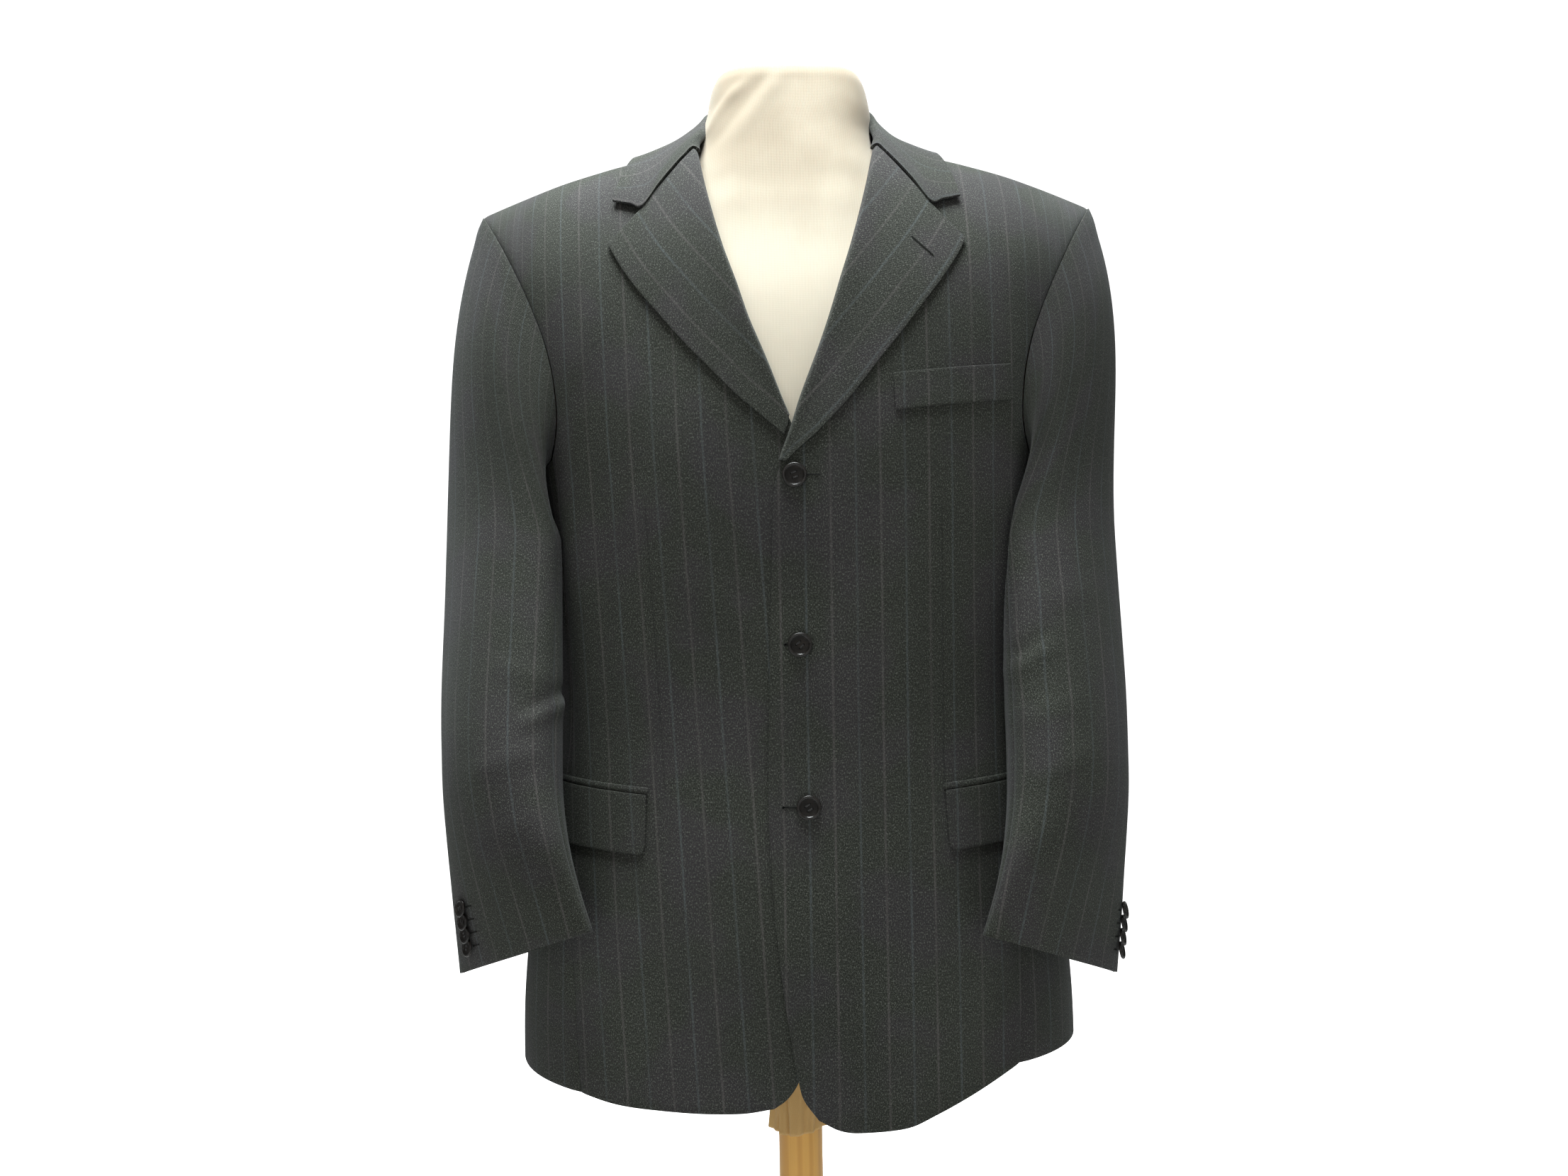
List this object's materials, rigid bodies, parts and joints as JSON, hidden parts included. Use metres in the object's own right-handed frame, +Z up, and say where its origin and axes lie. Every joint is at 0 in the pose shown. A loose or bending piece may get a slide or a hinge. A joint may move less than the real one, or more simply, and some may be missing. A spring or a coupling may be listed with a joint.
{
  "type": "pinstripe suit jacket on dress form",
  "caption": "Single-breasted charcoal pinstripe suit jacket with notch lapels, buttoned on a limbless cream dress form that stands on a wooden pole and round base.",
  "frame": {"origin": "centre of the base's underside, on the floor", "axes": "+Z up, -Y towards the front of the jacket, +X towards the wearer's left"},
  "size_m": [0.6021, 0.4, 1.605],
  "materials": {
    "charcoal_pinstripe_wool": "matte wool twill with a faint pinstripe",
    "dark_horn_button": "semi-gloss",
    "cream_jersey": "matte knitted jersey",
    "light_wood": "satin lacquer"
  },
  "bodies": {
    "root": {"front_left": "charcoal_pinstripe_wool", "front_right": "charcoal_pinstripe_wool", "side_left": "charcoal_pinstripe_wool", "side_right": "charcoal_pinstripe_wool", "back_left": "charcoal_pinstripe_wool", "back_right": "charcoal_pinstripe_wool", "sleeve_top_left": "charcoal_pinstripe_wool", "sleeve_top_right": "charcoal_pinstripe_wool", "sleeve_under_left": "charcoal_pinstripe_wool", "sleeve_under_right": "charcoal_pinstripe_wool", "lapel_left": "charcoal_pinstripe_wool", "lapel_right": "charcoal_pinstripe_wool", "collar": "charcoal_pinstripe_wool", "flap_left": "charcoal_pinstripe_wool", "flap_right": "charcoal_pinstripe_wool", "jet_left": "charcoal_pinstripe_wool", "jet_right": "charcoal_pinstripe_wool", "chest_welt": "charcoal_pinstripe_wool", "front_button_1": "dark_horn_button", "front_button_2": "dark_horn_button", "front_button_3": "dark_horn_button", "cuff_button_left_1": "dark_horn_button", "cuff_button_left_2": "dark_horn_button", "cuff_button_left_3": "dark_horn_button", "cuff_button_left_4": "dark_horn_button", "cuff_button_right_1": "dark_horn_button", "cuff_button_right_2": "dark_horn_button", "cuff_button_right_3": "dark_horn_button", "cuff_button_right_4": "dark_horn_button", "dress_form": "cream_jersey", "cover_tail": "cream_jersey", "pole": "light_wood", "base": "light_wood"}
  },
  "joints": []
}
